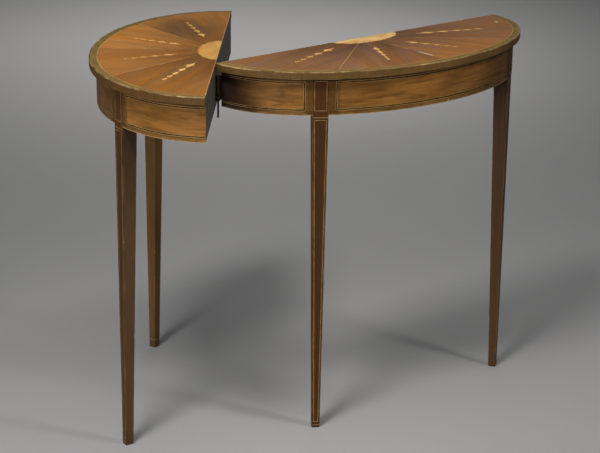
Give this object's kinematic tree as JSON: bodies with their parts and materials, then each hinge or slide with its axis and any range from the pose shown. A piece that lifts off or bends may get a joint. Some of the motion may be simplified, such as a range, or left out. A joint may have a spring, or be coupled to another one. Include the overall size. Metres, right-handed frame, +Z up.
{
  "type": "two-part demilune table",
  "caption": "Half-oval occasional table halves with inlaid fan tops, stringed aprons and square tapered legs, joined by a corner hinge.",
  "frame": {"origin": "on the floor, under the middle of the pair's bounding box", "axes": "+Z up, +Y along the left half's flat edge, away from the pictured front, +X to the right half"},
  "size_m": [0.8724, 0.773, 0.74],
  "materials": {
    "core_wood": "satin",
    "edge_wood": "satin",
    "crossband_wood": "gloss",
    "light_string": "satin",
    "left_field": "gloss",
    "right_field": "gloss",
    "fan_wood": "gloss",
    "husk_wood": "gloss",
    "apron_wood": "satin",
    "dark_string": "satin",
    "back_wood": "matte",
    "leg_wood": "satin",
    "band_wood": "satin",
    "inner_wood": "matte",
    "hinge_brass": "aged",
    "steel": "dull",
    "pin_steel": "dark"
  },
  "bodies": {
    "left_half": {"left_top_core": "core_wood", "left_edge_band": "edge_wood", "left_crossband": "crossband_wood", "left_border_string": "light_string", "left_field_veneers": "left_field", "left_seam_strings": "light_string", "left_fan_inlay": "fan_wood", "left_husk_inlays": "husk_wood", "left_apron_tip_end": "apron_wood", "left_apron_centre": "apron_wood", "left_apron_free_end": "apron_wood", "left_back_rail": "back_wood", "left_leg_tip_side": "leg_wood", "left_leg_free_side": "leg_wood", "left_leg_strings": "light_string", "left_leg_bands": "band_wood", "left_apron_light_strings": "light_string", "left_apron_dark_strings": "dark_string", "left_bearer": "inner_wood", "left_corner_blocks": "inner_wood", "left_top_screws": "steel", "left_hinge_leaf": "hinge_brass", "left_hinge_screws": "hinge_brass", "hinge_pin": "pin_steel"},
    "right_half": {"right_top_core": "core_wood", "right_edge_band": "edge_wood", "right_crossband": "crossband_wood", "right_border_string": "light_string", "right_field_veneers": "right_field", "right_seam_strings": "light_string", "right_fan_inlay": "fan_wood", "right_husk_inlays": "husk_wood", "right_apron_tip_end": "apron_wood", "right_apron_centre": "apron_wood", "right_apron_free_end": "apron_wood", "right_back_rail": "back_wood", "right_leg_tip_side": "leg_wood", "right_leg_free_side": "leg_wood", "right_leg_strings": "light_string", "right_leg_bands": "band_wood", "right_apron_light_strings": "light_string", "right_apron_dark_strings": "dark_string", "right_bearer": "inner_wood", "right_corner_blocks": "inner_wood", "right_top_screws": "steel", "right_hinge_leaf": "hinge_brass", "right_hinge_screws": "hinge_brass"}
  },
  "joints": [
    {"name": "right_half_swing", "type": "hinge", "parent": "left_half", "child": "right_half", "pos_m": [-0.17624, -0.11846, 0.689], "axis": [0, 0, 1], "range_deg": [-41, 48]}
  ]
}
